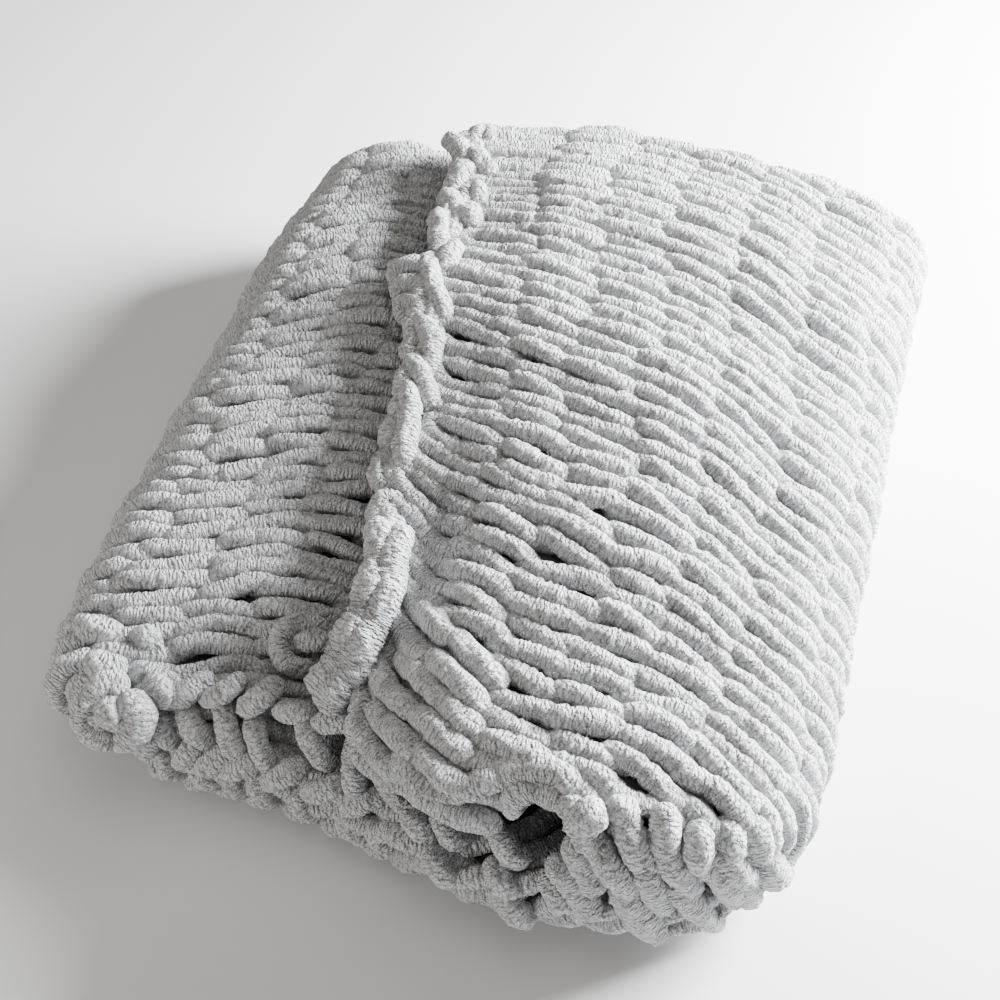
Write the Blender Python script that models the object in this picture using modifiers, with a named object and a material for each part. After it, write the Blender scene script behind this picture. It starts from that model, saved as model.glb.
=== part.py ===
"""A chunky knit blanket, folded in half and then wrapped into a flat bundle.

The blanket is one knitted piece. It is doubled across its wales, with that fold at the back
of the bundle, and the doubled cloth is wrapped once round: from the end that is tucked away
on top, over the left fold, along the underside, over the right fold and back over the top,
where its free edge lies as a ridge. Its front selvedge curls in all round the open front end,
and the free edge is a rolled lip over the front third.

The cloth is one sheet, laid by place(), which turns a place on the flat blanket (metres along
the wales, metres across them) into a place in the bundle. Metres, +Z up, +Y to the back.
"""

import bmesh
import bpy
import numpy as np

# The cloth
THICK = 0.021  # stockinette in chenille yarn about 13 mm thick
PITCH = 0.0280  # from the middle of one layer to the middle of the next
FOLD_R = 0.059  # the outside of a side fold, which is half of a stack of four layers
STACK = 2 * FOLD_R
OUTER = THICK / 2  # depth of the outer layer's middle below the bundle's surface
TURN_R = PITCH / 2  # the back fold, in the middle of the cloth
TUCK = 0.20  # the tucked end passes under the ridge by this much
CLIMBED = 0.15  # the right side has climbed over the tucked end this far beside the ridge
INNER_SHORT = 0.08  # the inner layer stops this short of the ridge
SETTLE = 0.09  # the top layer sinks over this width beside the ridge
CORNER = 0.2  # share of the depth over which both of these end at the back fold
DIP_AHEAD, DIP_WIDTH = 0.08, 0.09  # the tucked end sinks from this far beside the ridge
LIP = 0.030  # width of the rolled lip along the free edge
LIP_RISE = 0.010
LIP_GROOVE = 0.008
LIP_REACH = 0.36  # share of the depth over which the lip is fully rolled
WAVE = 0.003  # unevenness of the outer surface
CENTRE = (-0.0063, 0.2835)  # moves the bundle's middle to the origin

# The bundle from front (0) to back (1): its sides, the ridge, the slack under the top, and
# how far the tucked end sinks where it passes under the ridge
STATION = ("place", "left", "right", "ridge", "slack", "dip")
STATIONS = (
    (0.00, -0.295, 0.240, -0.080, -0.035, 0.005),
    (0.25, -0.295, 0.250, -0.080, -0.005, 0.010),
    (0.50, -0.290, 0.260, -0.090, 0.020, 0.020),
    (0.75, -0.285, 0.270, -0.105, 0.030, 0.025),
    (1.00, -0.270, 0.285, -0.115, 0.020, 0.030),
)

# The stretches along the wales: length on the cloth and the number of steps in the mesh
STRETCHES = (
    ("tucked end and left top", 0.351, 11),
    ("left fold", 0.137, 8),
    ("underside", 0.437, 11),
    ("right fold", 0.137, 8),
    ("right top", 0.286, 12),
)
# The stretches across them
WIDTHS = (
    ("front curl", 0.040, 5),
    ("outer layer", 0.550, 15),
    ("back fold", 0.041, 6),
    ("inner layer", 0.480, 9),
)

# The outline, by distance along the wales: how far the cloth reaches to the front and the back,
# the length and turn (degrees) of the curl along its front selvedge, and how far behind that
# the selvedge of the inner layer lies
EDGE = ("along", "front", "back", "hem", "turn", "inner")
EDGES = (
    (0.000, 0.025, 0.600, 0.035, 60, 0.155),
    (0.200, 0.015, 0.600, 0.035, 65, 0.155),
    (0.350, 0.010, 0.575, 0.040, 75, 0.130),
    (0.420, 0.020, 0.565, 0.040, 95, 0.090),
    (0.490, 0.010, 0.575, 0.045, 105, 0.120),
    (0.640, -0.005, 0.600, 0.055, 110, 0.155),
    (0.780, -0.040, 0.605, 0.070, 115, 0.155),
    (0.925, -0.020, 0.600, 0.050, 100, 0.090),
    (0.990, 0.015, 0.595, 0.045, 95, 0.060),
    (1.060, -0.010, 0.595, 0.045, 85, 0.060),
    (1.150, -0.030, 0.600, 0.045, 75, 0.060),
    (1.250, -0.030, 0.600, 0.045, 60, 0.090),
    (1.348, 0.000, 0.580, 0.045, 20, 0.130),
)


def starts(stretches):
    """Where each stretch starts, and where the last one ends."""
    return np.cumsum([0.0] + [length for _, length, _ in stretches])


ALONG = starts(STRETCHES)
ACROSS = starts(WIDTHS)


def column(names, rows, wanted):
    return np.array([row[names.index(wanted)] for row in rows])


def curve(names, rows, wanted, at):
    """A smooth curve through one column of a table, read at the first column's values."""
    x = column(names, rows, names[0])
    y = column(names, rows, wanted)
    slope = np.gradient(y, x)
    i = np.clip(np.searchsorted(x, at) - 1, 0, len(x) - 2)
    step = x[i + 1] - x[i]
    q = np.clip((at - x[i]) / step, 0, 1)
    return (
        y[i] * (1 + 2 * q) * (1 - q) ** 2
        + slope[i] * step * q * (1 - q) ** 2
        + y[i + 1] * q**2 * (3 - 2 * q)
        + slope[i + 1] * step * q**2 * (q - 1)
    )


def eased(share):
    share = np.clip(share, 0, 1)
    return share * share * (3 - 2 * share)


def stretch_of(at, ends):
    """The stretch that each place lies in, and its share of the way along it."""
    index = np.clip(np.searchsorted(ends, at, side="right") - 1, 0, len(ends) - 2)
    return index, (at - ends[index]) / (ends[index + 1] - ends[index])


def profile(along, across, out):
    """Front-to-back place and depth below the surface, seen from the side."""
    front = curve(EDGE, EDGES, "front", along)
    back = curve(EDGE, EDGES, "back", along) - TURN_R
    bend = np.radians(curve(EDGE, EDGES, "turn", along))
    curl_r = curve(EDGE, EDGES, "hem", along) / bend
    part, share = stretch_of(across, ACROSS)
    start = front + curl_r * np.sin(np.minimum(bend, np.pi / 2))
    curl = bend * (1 - share)
    turn = np.pi * share
    y = np.select(
        [part == 0, part == 1, part == 2],
        [
            start - (curl_r + out) * np.sin(curl),
            start + (back - start) * share,
            back + (TURN_R + out) * np.sin(turn),
        ],
        back + (front + curve(EDGE, EDGES, "inner", along) - back) * share,
    )
    deep = np.select(
        [part == 0, part == 1, part == 2],
        [
            OUTER + curl_r - (curl_r + out) * np.cos(curl),
            OUTER - out + 0 * share,
            OUTER + TURN_R - (TURN_R + out) * np.cos(turn),
        ],
        OUTER + PITCH + out,
    )
    return y, deep, np.clip((y - front) / (back + TURN_R - front), 0, 1)


def wrap(along, deep, left, right, ridge, short):
    """A flat wrap of even layers, seen from the front.

    Gives the sideways place, the height, the share of the top, the stretch, how much of the
    inner layer it is, and the sideways place as the outer layer has it in the folds.
    """
    part, share = stretch_of(along, ALONG)
    inner = np.clip((deep - OUTER) / PITCH, 0, 1)
    r = FOLD_R - deep
    left_bend = left + FOLD_R
    right_bend = right - FOLD_R
    turn = np.pi * share
    x = np.select(
        [part == 0, part == 1, part == 2, part == 3],
        [
            (ridge + TUCK) * (1 - share) + left_bend * share,
            left_bend - r * np.sin(turn),
            left_bend * (1 - share) + right_bend * share,
            right_bend + r * np.sin(turn),
        ],
        right_bend * (1 - share) + (ridge + short * inner) * share,
    )
    top = np.select(
        [part == 0, part == 1, part == 2, part == 3],
        [1, (1 + np.cos(turn)) / 2, 0, (1 - np.cos(turn)) / 2],
        1,
    )
    z = deep * (1 - top) + (STACK - deep) * top
    side = x + np.where(part == 3, (deep - OUTER) * np.sin(turn), 0)
    return x, z, top, part, inner, side


def place(along, across, out=0.0):
    """Where a point of the blanket lies in the bundle, `out` metres off the cloth's middle."""
    along, across, out = np.broadcast_arrays(along, across, out)
    y, deep, depth_share = profile(along, across, out)
    left, right, ridge, slack, dip = (
        curve(STATION, STATIONS, name, depth_share) for name in STATION[1:]
    )
    single = eased((1 - depth_share) / CORNER)
    short = INNER_SHORT * single
    x, z, top, part, inner, side = wrap(along, deep, left, right, ridge, short)
    # The right side climbs over the tucked end, and settles beside the ridge.
    climbed = np.clip((right - side) / (right - ridge - CLIMBED), 0, 1)
    climb = 2 * PITCH * np.sin(np.pi / 2 * climbed)
    climb = climb - PITCH * single * eased((ridge + SETTLE - x) / SETTLE)
    sunk = dip * eased((x - ridge + DIP_AHEAD) / DIP_WIDTH)
    z = z + np.where(part >= 3, climb * (1 - dip / (2 * PITCH)), -sunk * (part == 0)) * top
    # The slack crowns the top between the sides and the ridge.
    sideways = np.where(x < ridge, (ridge - x) / (ridge - left), (side - ridge) / (right - ridge))
    z = z + slack * np.clip(1 - sideways**2, 0, 1) ** 1.1 * top
    # The free edge is a lip, rolled at the front third, with a groove beside it.
    from_edge = ALONG[-1] - along
    rolled = (0.35 + 0.65 * eased((LIP_REACH - depth_share) / 0.12)) * (1 - inner)
    z = z + rolled * LIP_RISE * eased(1 - from_edge / LIP)
    z = z - rolled * LIP_GROOVE * np.exp(-(((from_edge - 1.5 * LIP) / (0.5 * LIP)) ** 2))
    # Uneven, as hand knitting lies, except where it rests.
    wave = np.sin(23 * x + 9 * y) * np.sin(17 * y - 11 * x + 1) + 0.6 * np.sin(41 * y + 13 * x)
    z = z + WAVE * wave * top
    return np.stack([x - CENTRE[0], y - CENTRE[1], z], axis=-1)


def steps(stretches, ends):
    """The mesh lines along one direction of the blanket."""
    counts = [count for _, _, count in stretches]
    runs = zip(ends[:-1], ends[1:], counts)
    lines = [np.linspace(start, end, count, endpoint=False) for start, end, count in runs]
    return np.append(np.concatenate(lines), ends[-1])


def knitted_sheet(name):
    """The whole blanket: a grid laid by place(), made as thick as the cloth."""
    along = steps(STRETCHES, ALONG)
    across = steps(WIDTHS, ACROSS)
    points = place(along[None, :], across[:, None]).reshape(-1, 3)
    cloth = bmesh.new()
    bmesh.ops.create_grid(cloth, x_segments=len(along) - 1, y_segments=len(across) - 1, size=1)
    for vertex, point in zip(cloth.verts, points):
        vertex.co = point
    mesh = bpy.data.meshes.new(name)
    cloth.to_mesh(mesh)
    cloth.free()
    mesh.shade_smooth()
    sheet = bpy.data.objects.new(name, mesh)
    thick = sheet.modifiers.new("Thickness", "SOLIDIFY")
    thick.thickness = THICK
    thick.offset = 0
    thick.use_quality_normals = True
    return sheet


def chenille():
    material = bpy.data.materials.new("pale_grey_chenille")
    material.use_nodes = True
    shader = material.node_tree.nodes["Principled BSDF"]
    shader.inputs["Base Color"].default_value = (0.62, 0.63, 0.67, 1)
    shader.inputs["Roughness"].default_value = 0.95
    shader.inputs["Metallic"].default_value = 0
    return material


def main():
    for obj in list(bpy.data.objects):
        bpy.data.objects.remove(obj)
    parts = bpy.data.collections.new("folded_knit_blanket")
    bpy.context.scene.collection.children.link(parts)
    blanket = knitted_sheet("blanket")
    blanket.data.materials.append(chenille())
    parts.objects.link(blanket)


main()
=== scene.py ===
"""A folded chunky knit blanket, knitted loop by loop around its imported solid.

The blanket is one piece of stockinette in thick chenille yarn. place() lays a spot of the flat
blanket (metres along the wales, metres across them, metres off the middle of the cloth) into
the folded bundle, as the solid does it. course() follows the yarn through one row of loops, and
Yarn makes tubes with a tufted pile around such paths. Metres, +Z up, +Y to the back.
"""

import math

import bpy
import numpy as np
from mathutils import Euler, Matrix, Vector


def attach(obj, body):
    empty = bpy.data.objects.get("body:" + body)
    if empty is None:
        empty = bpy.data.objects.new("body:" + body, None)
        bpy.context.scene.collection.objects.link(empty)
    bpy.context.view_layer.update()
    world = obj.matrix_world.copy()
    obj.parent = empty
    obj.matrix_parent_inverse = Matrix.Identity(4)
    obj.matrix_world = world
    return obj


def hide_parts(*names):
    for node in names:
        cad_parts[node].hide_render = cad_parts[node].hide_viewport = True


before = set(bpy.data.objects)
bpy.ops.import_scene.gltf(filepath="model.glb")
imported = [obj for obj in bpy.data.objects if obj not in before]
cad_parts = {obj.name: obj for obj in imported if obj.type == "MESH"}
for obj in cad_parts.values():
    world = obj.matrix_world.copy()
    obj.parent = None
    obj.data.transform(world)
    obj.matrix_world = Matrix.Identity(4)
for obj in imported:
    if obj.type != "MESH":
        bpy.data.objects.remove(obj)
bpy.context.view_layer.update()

BODY = "root"
NODE = "blanket"
RNG = np.random.default_rng(27)

# ------------------------------------------------------------------ the folded cloth
THICK = 0.021  # the cloth, from the face of the loops to their back
PITCH = 0.0280  # from the middle of one layer to the middle of the next
FOLD_R = 0.059  # the outside of a side fold
STACK = 2 * FOLD_R
OUTER = THICK / 2
TURN_R = PITCH / 2
TUCK = 0.20  # the tucked end passes under the ridge by this much
CLIMBED = 0.15  # the right side has climbed over the tucked end this far beside the ridge
INNER_SHORT = 0.08  # the inner layer stops this short of the ridge
SETTLE = 0.09  # the top layer sinks over this width beside the ridge
CORNER = 0.2  # share of the depth over which both of these end at the back fold
DIP_AHEAD, DIP_WIDTH = 0.08, 0.09  # the tucked end sinks from this far beside the ridge
LIP = 0.030  # width of the rolled lip along the free edge
LIP_RISE = 0.010
LIP_GROOVE = 0.008
GROOVE_AT, GROOVE_HALF = 1.5, 0.5  # in widths of the lip: how far from the edge, and how wide
LIP_REACH, LIP_FADES = 0.36, 0.12  # shares of the depth: the roll has faded there, over this much
LIP_AT_BACK = 0.35  # share of the roll that is left behind that
WAVE = 0.003  # unevenness of the outer surface
CENTRE = (-0.0063, 0.2835)  # moves the bundle's middle to the origin
SLACK_ROUND = 1.1  # the higher, the more the slack gathers in the middle
CAP_DEPTH = 0.056  # curled ends stop short of the middle of a side fold

# The bundle from front (0) to back (1): its sides, the ridge, the slack under the top, and how
# far the tucked end sinks where it passes under the ridge.
STATION = ("place", "left", "right", "ridge", "slack", "dip")
STATIONS = (
    (0.00, -0.295, 0.240, -0.080, -0.035, 0.005),
    (0.25, -0.295, 0.250, -0.080, -0.005, 0.010),
    (0.50, -0.290, 0.260, -0.090, 0.020, 0.020),
    (0.75, -0.285, 0.270, -0.105, 0.030, 0.025),
    (1.00, -0.270, 0.285, -0.115, 0.020, 0.030),
)

# The stretches along the wales: tucked end and left top, left fold, underside, right fold,
# right top. Then those across them: front curl, outer layer, back fold, inner layer.
STRETCHES = (0.351, 0.137, 0.437, 0.137, 0.286)
WIDTHS = (0.040, 0.550, 0.041, 0.480)
ALONG = np.cumsum((0.0,) + STRETCHES)
ACROSS = np.cumsum((0.0,) + WIDTHS)

# The outline, by distance along the wales: how far the cloth reaches to the front and the back,
# the length and turn (degrees) of the curl along its front selvedge, and how far behind that
# the selvedge of the inner layer lies.
EDGE = ("along", "front", "back", "hem", "turn", "inner")
EDGES = (
    (0.000, 0.025, 0.600, 0.035, 60, 0.155),
    (0.200, 0.015, 0.600, 0.035, 65, 0.155),
    (0.350, 0.010, 0.575, 0.040, 75, 0.130),
    (0.420, 0.020, 0.565, 0.040, 95, 0.090),
    (0.490, 0.010, 0.575, 0.045, 105, 0.120),
    (0.640, -0.005, 0.600, 0.055, 110, 0.155),
    (0.780, -0.040, 0.605, 0.070, 115, 0.155),
    (0.925, -0.020, 0.600, 0.050, 100, 0.090),
    (0.990, 0.015, 0.595, 0.045, 95, 0.060),
    (1.060, -0.010, 0.595, 0.045, 85, 0.060),
    (1.150, -0.030, 0.600, 0.045, 75, 0.060),
    (1.250, -0.030, 0.600, 0.045, 60, 0.090),
    (1.348, 0.000, 0.580, 0.045, 20, 0.130),
)

# How far the wales are drawn back from the free front corner, how far they lean back towards
# the cast-off edge, and how far they have swept to the front.
SLIDE = ("along", "drawn", "lean", "swept")
SLIDES = (
    (0.000, 0.000, 0.000, 0.000),
    (0.200, 0.000, 0.000, 0.000),
    (0.280, 0.000, 0.000, 0.010),
    (0.350, 0.000, 0.000, 0.038),
    (0.420, 0.000, 0.000, 0.058),
    (0.500, 0.000, 0.000, 0.056),
    (0.640, 0.000, 0.000, 0.015),
    (0.780, 0.000, 0.000, 0.040),
    (0.850, 0.000, 0.000, 0.078),
    (0.925, 0.000, 0.000, 0.102),
    (0.990, 0.000, 0.000, 0.080),
    (1.060, 0.000, 0.000, 0.030),
    (1.090, 0.000, 0.000, 0.012),
    (1.130, 0.000, 0.005, 0.002),
    (1.200, 0.000, 0.018, 0.000),
    (1.260, 0.004, 0.029, 0.000),
    (1.310, 0.010, 0.038, 0.000),
    (1.348, 0.022, 0.046, 0.000),
)
DRAWN_DEPTH = 0.30  # across, where the drawing back ends
LEAN_DEPTH = (0.40, 0.22)  # full as far as the first, gone after the second more
LEAN_AT_FRONT, LEAN_GROWS = 0.35, 0.20  # its share at the selvedge, and over which width it grows
NOTCH = (1.186, 0.036, 0.050, 0.020)  # the hem pulled up: along, half length, depth, how far
SWEPT_AT_BACK = 0.45  # share of the sweep that is left at the back fold
SWEPT_EARLIER = 0.13  # on the right, the farther back, the nearer to the ridge it starts
RIGHT_FROM, RIGHT_BLEND = 0.6, 0.3  # along, where the right side starts


def curve(names, rows, wanted, at):
    """A smooth curve through one column of a table, read at the first column's values."""
    table = np.array(rows, float)
    x = table[:, 0]
    y = table[:, names.index(wanted)]
    slope = np.gradient(y, x)
    i = np.clip(np.searchsorted(x, at) - 1, 0, len(x) - 2)
    step = x[i + 1] - x[i]
    q = np.clip((at - x[i]) / step, 0, 1)
    return (
        y[i] * (1 + 2 * q) * (1 - q) ** 2
        + slope[i] * step * q * (1 - q) ** 2
        + y[i + 1] * q**2 * (3 - 2 * q)
        + slope[i + 1] * step * q**2 * (q - 1)
    )


def eased(share):
    """A share from 0 to 1, with a soft start and end."""
    share = np.clip(share, 0, 1)
    return share * share * (3 - 2 * share)


def stretch_of(at, ends):
    """The stretch that each place lies in, and its share of the way along it."""
    index = np.clip(np.searchsorted(ends, at, side="right") - 1, 0, len(ends) - 2)
    return index, (at - ends[index]) / (ends[index + 1] - ends[index])


def slide(along, across):
    """The wales drawn back at the free corner, and swept to the front towards both side folds."""
    drawn = curve(SLIDE, SLIDES, "drawn", along) * (1 - eased(across / DRAWN_DEPTH))
    lean = curve(SLIDE, SLIDES, "lean", along)
    lean = lean * (1 - eased((across - LEAN_DEPTH[0]) / LEAN_DEPTH[1]))
    lean = lean * (LEAN_AT_FRONT + (1 - LEAN_AT_FRONT) * eased(across / LEAN_GROWS))
    middle, half, depth, pulled = NOTCH
    drawn = drawn + pulled * np.exp(-(((along - middle) / half) ** 2)) * (1 - eased(across / depth))
    earlier = SWEPT_EARLIER * across * eased((along - RIGHT_FROM) / RIGHT_BLEND)
    swept = curve(SLIDE, SLIDES, "swept", along - earlier)
    swept = swept * (1 - (1 - SWEPT_AT_BACK) * eased(across / ACROSS[3]))
    return across + drawn + lean - swept


def profile(along, across, out):
    """Front-to-back place and depth below the surface, seen from the side."""
    front = curve(EDGE, EDGES, "front", along)
    back = curve(EDGE, EDGES, "back", along) - TURN_R
    bend = np.radians(curve(EDGE, EDGES, "turn", along))
    curl_r = curve(EDGE, EDGES, "hem", along) / bend
    part, share = stretch_of(across, ACROSS)
    parts = [part == 0, part == 1, part == 2]
    start = front + curl_r * np.sin(np.minimum(bend, np.pi / 2))
    curl = bend * (1 - share)
    inward = curl_r * np.maximum(curl - np.pi, 0)
    curl = np.minimum(curl, np.pi)
    turn = np.pi * share
    y = np.select(
        parts,
        [
            start - (curl_r + out) * np.sin(curl) + inward,
            start + (back - start) * share,
            back + (TURN_R + out) * np.sin(turn),
        ],
        back + (front + curve(EDGE, EDGES, "inner", along) - back) * share,
    )
    deep = np.select(
        parts,
        [
            np.minimum(OUTER + curl_r - curl_r * np.cos(curl), CAP_DEPTH) - out * np.cos(curl),
            OUTER - out + 0 * share,
            OUTER + TURN_R - (TURN_R + out) * np.cos(turn),
        ],
        OUTER + PITCH + out,
    )
    return y, deep, np.clip((y - front) / (back + TURN_R - front), 0, 1)


def wrap(along, deep, left, right, ridge, short):
    """A flat wrap of even layers, seen from the front."""
    part, share = stretch_of(along, ALONG)
    parts = [part == 0, part == 1, part == 2, part == 3]
    inner = np.clip((deep - OUTER) / PITCH, 0, 1)
    r = FOLD_R - deep
    left_bend = left + FOLD_R
    right_bend = right - FOLD_R
    turn = np.pi * share
    x = np.select(
        parts,
        [
            (ridge + TUCK) * (1 - share) + left_bend * share,
            left_bend - r * np.sin(turn),
            left_bend * (1 - share) + right_bend * share,
            right_bend + r * np.sin(turn),
        ],
        right_bend * (1 - share) + (ridge + short * inner) * share,
    )
    top = np.select(parts, [1, (1 + np.cos(turn)) / 2, 0, (1 - np.cos(turn)) / 2], 1)
    z = deep * (1 - top) + (STACK - deep) * top
    side = x + np.where(part == 3, (deep - OUTER) * np.sin(turn), 0)
    return x, z, top, part, inner, side


def place(along, across, out=0.0):
    """Where a point of the blanket lies in the bundle, `out` metres off the cloth's middle."""
    along, across, out = np.broadcast_arrays(along, across, out)
    y, deep, depth_share = profile(along, slide(along, across), out)
    left, right, ridge, slack, dip = (
        curve(STATION, STATIONS, name, depth_share) for name in STATION[1:]
    )
    single = eased((1 - depth_share) / CORNER)
    short = INNER_SHORT * single
    x, z, top, part, inner, side = wrap(along, deep, left, right, ridge, short)
    climbed = np.clip((right - side) / (right - ridge - CLIMBED), 0, 1)
    climb = 2 * PITCH * np.sin(np.pi / 2 * climbed)
    climb = climb - PITCH * single * eased((ridge + SETTLE - x) / SETTLE)
    sunk = dip * eased((x - ridge + DIP_AHEAD) / DIP_WIDTH)
    z = z + np.where(part >= 3, climb * (1 - dip / (2 * PITCH)), -sunk * (part == 0)) * top
    sideways = np.where(x < ridge, (ridge - x) / (ridge - left), (side - ridge) / (right - ridge))
    z = z + slack * np.clip(1 - sideways**2, 0, 1) ** SLACK_ROUND * top
    from_edge = ALONG[-1] - along
    rolled = LIP_AT_BACK + (1 - LIP_AT_BACK) * eased((LIP_REACH - depth_share) / LIP_FADES)
    rolled = rolled * (1 - inner)
    z = z + rolled * LIP_RISE * eased(1 - from_edge / LIP)
    z = z - rolled * LIP_GROOVE * np.exp(-(((from_edge - GROOVE_AT * LIP) / (GROOVE_HALF * LIP)) ** 2))
    wave = np.sin(23 * x + 9 * y) * np.sin(17 * y - 11 * x + 1) + 0.6 * np.sin(41 * y + 13 * x)
    z = z + WAVE * wave * top
    return np.stack([x - CENTRE[0], y - CENTRE[1], z], axis=-1)


# ------------------------------------------------------------------ yarn
YARN_R = 0.0077
WALES = 40  # across the flat blanket
ROWS = 27  # along it
WALE = ACROSS[-1] / WALES
LOOP = 0.037  # half the length of a loop
ROW = (ALONG[-1] - 2 * LOOP) / (ROWS - 1)
BUNCH = 0.3  # closer steps along the legs than round the heads
SWING = 0.0046  # how far a loop's head bulges sideways
RISE = 0.0045  # how far the legs stand out, and the heads and feet sink in
FLAT = 2.2  # the higher, the longer a leg stays out before it dives
LAST_RISE = 0.5  # share of the rise that the heads of the last row keep
SQUEEZED, SWELLS = 0.86, 0.14  # thickness of the yarn where it dives, and what the legs add
UNEVEN = 0.0095  # unevenness of hand knitting: where one loop passes through the next
LEG_PUSH = 0.0018  # and for each leg
LEG_LIFT = 0.0020
LEG_FAT = 0.09
PLUMPER = 0.05  # the right panel is stretched less, so its yarn is plumper
THINNER = 0.06  # and the left panel more
PLUMP_FROM, THIN_TO, PANEL_BLEND = 1.1, 0.45, 0.1  # places along, and over which length
LOWER_CORNER = 0.005  # under the matted loops of the free corner the knit lies this much lower
LOWER_FROM, LOWER_TO, LOWER_BLEND = 1.235, 0.10, 0.03  # along, across, and over which width
LINK = 0.0215  # half the length of a link in the edge chains
LINK_PITCH = 0.0278
LINK_WIDTH = 0.0200
LINK_SIZES, LINK_YARNS = (0.85, 1.15), (0.95, 1.2)  # ranges of the shares of length and yarn
LINK_STEPS = 26
LINK_OPEN = 0.25  # radians that a link leaves open at each end
LINK_SWING, LINK_RISE, LINK_FLAT = 0.0028, 0.0045, 1.8
LINK_THIN, LINK_SWELLS = 0.88, 0.16  # thickness at its ends, and what its legs add
LINK_OFF, LINK_ASIDE, LINK_ASKEW, LINK_UP = 0.003, 0.0018, 0.06, 0.0015  # unevenness
FLOOR = 0.0006  # the lowest yarn
TIP = 0.12  # a tube's ends are round: its first ring is this many radii from the very tip
CROWDED = 0.3  # the points round a tube stand closer together on its outer side
PATTERN_GAP = 0.037  # from the end of one tube's pile pattern to the start of the next one's
SMOOTHED = 2.45  # about the root of 6: keeps the pile's height when its lumps are made broader
STEP = 0.003  # about how far apart the rings of a loose piece of yarn are
LOOSE_TUFTS = 0.075  # unevenness of the pile on loose loops
THIN_END, THICKER = 0.78, 0.22  # thickness of a short loop at its ends, and what its middle adds
DIVES = 0.35  # radii that a short loop goes on for at its ends

# Places where the wales have been pulled apart: how many rows from the tucked end, how many
# wales from the front selvedge, and how far each side moves.
GAPS = (
    (6.5, 8.5, 0.0060),
    (4.5, 7.0, 0.0050),
    (4.5, 6.0, 0.0050),
    (5.5, 4.0, 0.0055),
    (6.0, 2.5, 0.0045),
    (24.0, 7.0, 0.0062),
    (22.5, 2.5, 0.0060),
    (23.0, 1.5, 0.0045),
    (25.5, 8.0, 0.0045),
    (25.0, 5.5, 0.0045),
    (27.0, 10.5, 0.0050),
    (27.0, 9.5, 0.0050),
    (22.0, 12.0, 0.0045),
    (23.0, 16.0, 0.0045),
)
GAP_SIZE = (0.016, 0.015)  # along and across


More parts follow.
